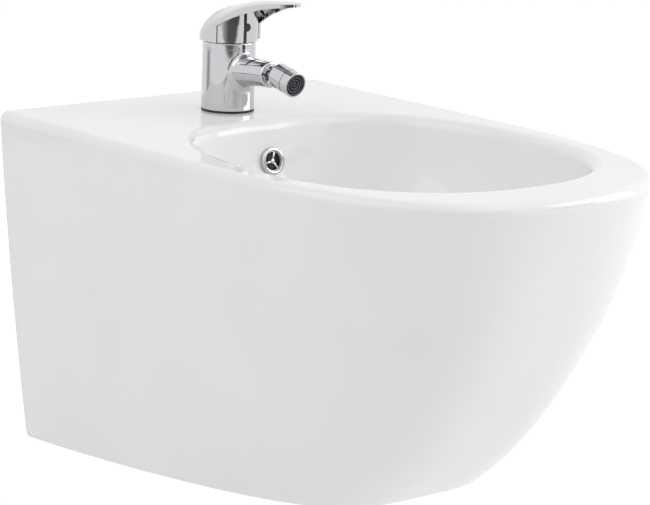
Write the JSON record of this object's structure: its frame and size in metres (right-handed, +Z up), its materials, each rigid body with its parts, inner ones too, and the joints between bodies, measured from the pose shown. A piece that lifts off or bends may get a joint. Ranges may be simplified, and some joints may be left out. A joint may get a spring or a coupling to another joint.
{
  "type": "wall-hung bidet",
  "caption": "Wall-hung vitreous china bidet with an open bowl, a single-lever mixer with a swivelling nozzle, an overflow and a push-open waste.",
  "frame": {"origin": "midway between the two wall bolts, on the flat back face", "axes": "+Z up, +Y into the wall, the bowl points along -Y, and x = 0 is the plane of symmetry"},
  "size_m": [0.3598, 0.5293, 0.404],
  "materials": {
    "vitreous_china": "clear gloss glaze over white vitreous china",
    "chrome_plate": "polished chromium plate on cast brass or zinc",
    "raw_brass": "turned, uncoated",
    "stainless_steel": "turned or stamped",
    "black_rubber": "moulded, matt",
    "white_nylon": "moulded",
    "grey_acetal": "moulded",
    "alumina": "ground and lapped",
    "dark_acetal": "moulded",
    "index_plastic": "moulded"
  },
  "bodies": {
    "root": {"ceramic_body": "vitreous_china", "wall_bushes": "white_nylon", "overflow_ring": "chrome_plate", "overflow_insert": "chrome_plate", "tap_body": "chrome_plate", "tap_gasket": "black_rubber", "tap_stud": "stainless_steel", "tap_rubber_washer": "black_rubber", "tap_clamp_washer": "stainless_steel", "tap_nut": "raw_brass", "cartridge_seals": "black_rubber", "cartridge_housing": "grey_acetal", "fixed_disc": "alumina", "cartridge_nut": "raw_brass", "shroud_ring": "chrome_plate", "ball_stem": "chrome_plate", "waste_body": "chrome_plate", "waste_seal": "black_rubber", "waste_gasket": "black_rubber", "waste_nut": "raw_brass", "waste_guide": "raw_brass"},
    "turner": {"spindle_carrier": "grey_acetal", "spindle_pin": "stainless_steel"},
    "lever": {"lever": "chrome_plate", "spindle": "raw_brass", "grub_screw": "stainless_steel", "index_cap": "index_plastic"},
    "disc": {"moving_disc": "alumina", "disc_slider": "grey_acetal"},
    "liner": {"swivel_liner": "white_nylon"},
    "nozzle": {"swivel_cap": "chrome_plate", "swivel_barrel": "chrome_plate", "aerator_seal": "black_rubber", "aerator_housing": "chrome_plate", "aerator_insert": "dark_acetal"},
    "plug": {"waste_plug": "chrome_plate", "plug_seal": "black_rubber", "plug_stem": "raw_brass"}
  },
  "joints": [
    {"name": "lever_turn", "type": "hinge", "parent": "root", "child": "turner", "pos_m": [0, -0.088, 0.13], "axis": [0, 0, 1], "range_deg": [-50, 50]},
    {"name": "lever_lift", "type": "hinge", "parent": "turner", "child": "lever", "pos_m": [0, -0.088, 0.13], "axis": [-1, 0, 0], "range_deg": [0, 22]},
    {"name": "disc_slide", "type": "slide", "parent": "turner", "child": "disc", "axis": [0, -1, 0], "range_m": [0, 0.0041]},
    {"name": "nozzle_yaw", "type": "hinge", "parent": "root", "child": "liner", "pos_m": [0, -0.1618, 0.1194], "axis": [0, 0, 1], "range_deg": [-15, 15]},
    {"name": "nozzle_pitch", "type": "hinge", "parent": "liner", "child": "nozzle", "pos_m": [0, -0.1618, 0.1194], "axis": [1, 0, 0], "range_deg": [-28, 2]},
    {"name": "plug_slide", "type": "slide", "parent": "root", "child": "plug", "axis": [0, 0, 1], "range_m": [0, 0.008]}
  ],
  "couplings": [
    {"joint": "disc_slide", "follows": "lever_lift", "m_per_rad": 0.0105}
  ]
}
